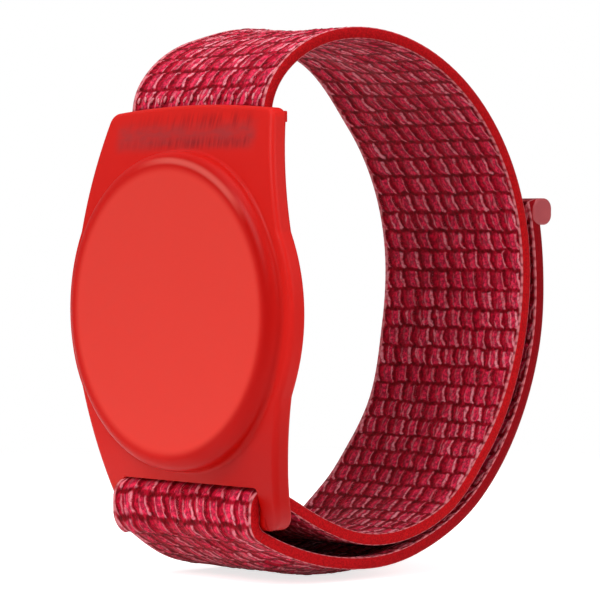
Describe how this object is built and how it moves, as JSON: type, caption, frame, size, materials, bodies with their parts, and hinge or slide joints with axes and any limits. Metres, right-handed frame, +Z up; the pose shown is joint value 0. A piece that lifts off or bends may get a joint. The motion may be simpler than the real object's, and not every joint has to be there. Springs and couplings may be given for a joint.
{
  "type": "wristband tag holder",
  "caption": "Woven hook-and-loop wristband through a soft moulded pod that holds a round tracking tag with a twist-off battery cover.",
  "frame": {"origin": "on the axis of the round tag, in the middle of the loop where the wrist goes, level with the tag's centre", "axes": "+X along the wrist's axis, across the band's width; -Y out of the pod's front face; +Z up along the band, towards the lug that holds the hem"},
  "size_m": [0.038, 0.0492, 0.0601],
  "materials": {
    "pod_elastomer": "satin translucent",
    "band_weave": "woven",
    "band_tail": "woven",
    "hook_tape": "matt hook tape",
    "tab_elastomer": "satin",
    "rod_nylon": "matt",
    "tag_white": "gloss",
    "frame_black": "matt",
    "steel": "polished",
    "cell_steel": "satin",
    "contact_brass": "satin",
    "board_green": "satin",
    "shield_tin": "satin",
    "magnet_nickel": "bright",
    "coil_copper": "satin",
    "foil_copper": "satin"
  },
  "bodies": {
    "band": {"pod_case": "pod_elastomer", "wrist_band": "band_weave", "hem_rod": "rod_nylon"},
    "tail": {"fastening_tail": "band_tail", "hook_patch": "hook_tape", "pull_tab": "tab_elastomer"},
    "tag": {"tag_shell": "tag_white", "tag_frame": "frame_black", "coin_cell": "cell_steel", "positive_contact_left": "contact_brass", "positive_contact_right": "contact_brass", "negative_contact": "contact_brass", "circuit_board": "board_green", "shield_can": "shield_tin", "sounder_magnet": "magnet_nickel", "sounder_coil": "coil_copper", "antenna_ring": "foil_copper"},
    "cover": {"battery_cover": "steel"}
  },
  "joints": [
    {"name": "tail_peel", "type": "hinge", "parent": "band", "child": "tail", "pos_m": [0, -0.02081, -0.02477], "axis": [-1, 0, 0], "range_deg": [0, 120]},
    {"name": "tag_slide", "type": "slide", "parent": "band", "child": "tag", "axis": [0, 1, 0], "range_m": [0, 0.012]},
    {"name": "cover_twist", "type": "hinge", "parent": "tag", "child": "cover", "pos_m": [0, -0.01725, 0], "axis": [0, 1, 0], "range_deg": [0, 20]}
  ]
}
